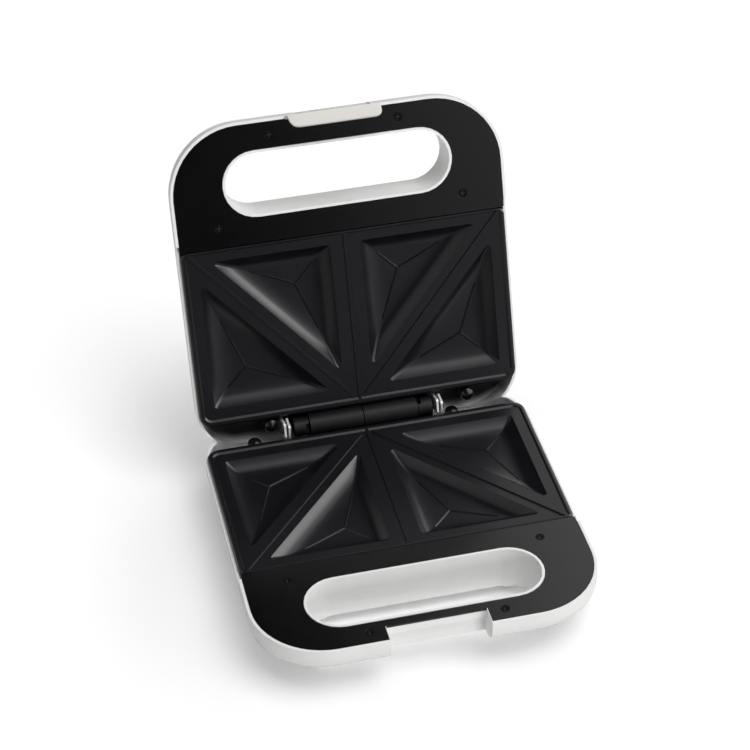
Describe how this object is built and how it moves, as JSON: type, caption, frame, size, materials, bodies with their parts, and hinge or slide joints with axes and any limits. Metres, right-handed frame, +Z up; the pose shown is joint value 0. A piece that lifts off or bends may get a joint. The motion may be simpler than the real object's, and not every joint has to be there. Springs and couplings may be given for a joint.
{
  "type": "sandwich maker",
  "caption": "Hinged contact sandwich maker with triangular pocket plates, slotted loop handles and a front latch, lid open.",
  "frame": {"origin": "centre of the bounding box on the table plane, with the lid resting open on its stop", "axes": "+Z up, +Y from the handles towards the hinge, +X to the right as the user faces the handles"},
  "size_m": [0.2288, 0.3058, 0.2516],
  "materials": {
    "shell": "white satin gloss",
    "bezel": "black gloss",
    "plate": "charcoal non-stick coating on cast aluminium",
    "hinge": "black matt",
    "latch": "cream satin",
    "steel": "bright",
    "black_steel": "blackened",
    "heater": "oxidised tube",
    "pan": "aluminised sheet",
    "rubber": "grey matt",
    "gland": "black matt",
    "ceramic": "white ceramic look",
    "sleeve": "woven glass fibre",
    "red": "red lens",
    "green": "green lens",
    "glass": "neon lamp glass",
    "lead": "lead insulation"
  },
  "bodies": {
    "base": {"lower_housing": "shell", "lower_bezel": "bezel", "lower_cooking_plate": "plate", "lower_heating_element": "heater", "lower_heat_reflector": "pan", "lower_thermostat": "ceramic", "lower_hinge_cover": "hinge", "lower_wiring_sleeve": "sleeve", "lower_inner_bracket": "steel", "lower_outer_bracket": "steel", "lower_bezel_screw_1": "black_steel", "lower_bezel_screw_2": "black_steel", "lower_bezel_screw_3": "black_steel", "lower_bezel_screw_4": "black_steel", "lower_deck_screw_1": "black_steel", "lower_deck_screw_2": "black_steel", "rubber_foot_1": "rubber", "rubber_foot_2": "rubber", "rubber_foot_3": "rubber", "rubber_foot_4": "rubber", "cord_gland": "gland", "cord_clamp": "ceramic", "terminal_block": "ceramic", "thermal_fuse": "ceramic", "fuse_lead": "lead", "thermostat_lead": "lead", "hinge_rivet_left": "steel", "hinge_rivet_right": "steel", "hinge_washer_left": "steel", "hinge_washer_right": "steel"},
    "lid": {"upper_housing": "shell", "upper_bezel": "bezel", "upper_cooking_plate": "plate", "upper_heating_element": "heater", "upper_heat_reflector": "pan", "upper_thermostat": "ceramic", "upper_hinge_cover": "hinge", "upper_wiring_sleeve": "sleeve", "upper_inner_bracket": "steel", "upper_outer_bracket": "steel", "upper_bezel_screw_1": "black_steel", "upper_bezel_screw_2": "black_steel", "upper_bezel_screw_3": "black_steel", "upper_bezel_screw_4": "black_steel", "upper_deck_screw_1": "black_steel", "upper_deck_screw_2": "black_steel", "power_light_lens": "red", "ready_light_lens": "green", "power_lamp": "glass", "ready_lamp": "glass", "lamp_holder": "hinge", "latch_pin": "steel"},
    "latch": {"latch": "latch"}
  },
  "joints": [
    {"name": "lid_hinge", "type": "hinge", "parent": "base", "child": "lid", "pos_m": [0, 0.0657, 0.041], "axis": [1, 0, 0], "range_deg": [0, 108.85]},
    {"name": "latch_pivot", "type": "hinge", "parent": "lid", "child": "latch", "pos_m": [0, 0.14355, 0.24118], "axis": [1, 0, 0], "range_deg": [-5, 26]}
  ]
}
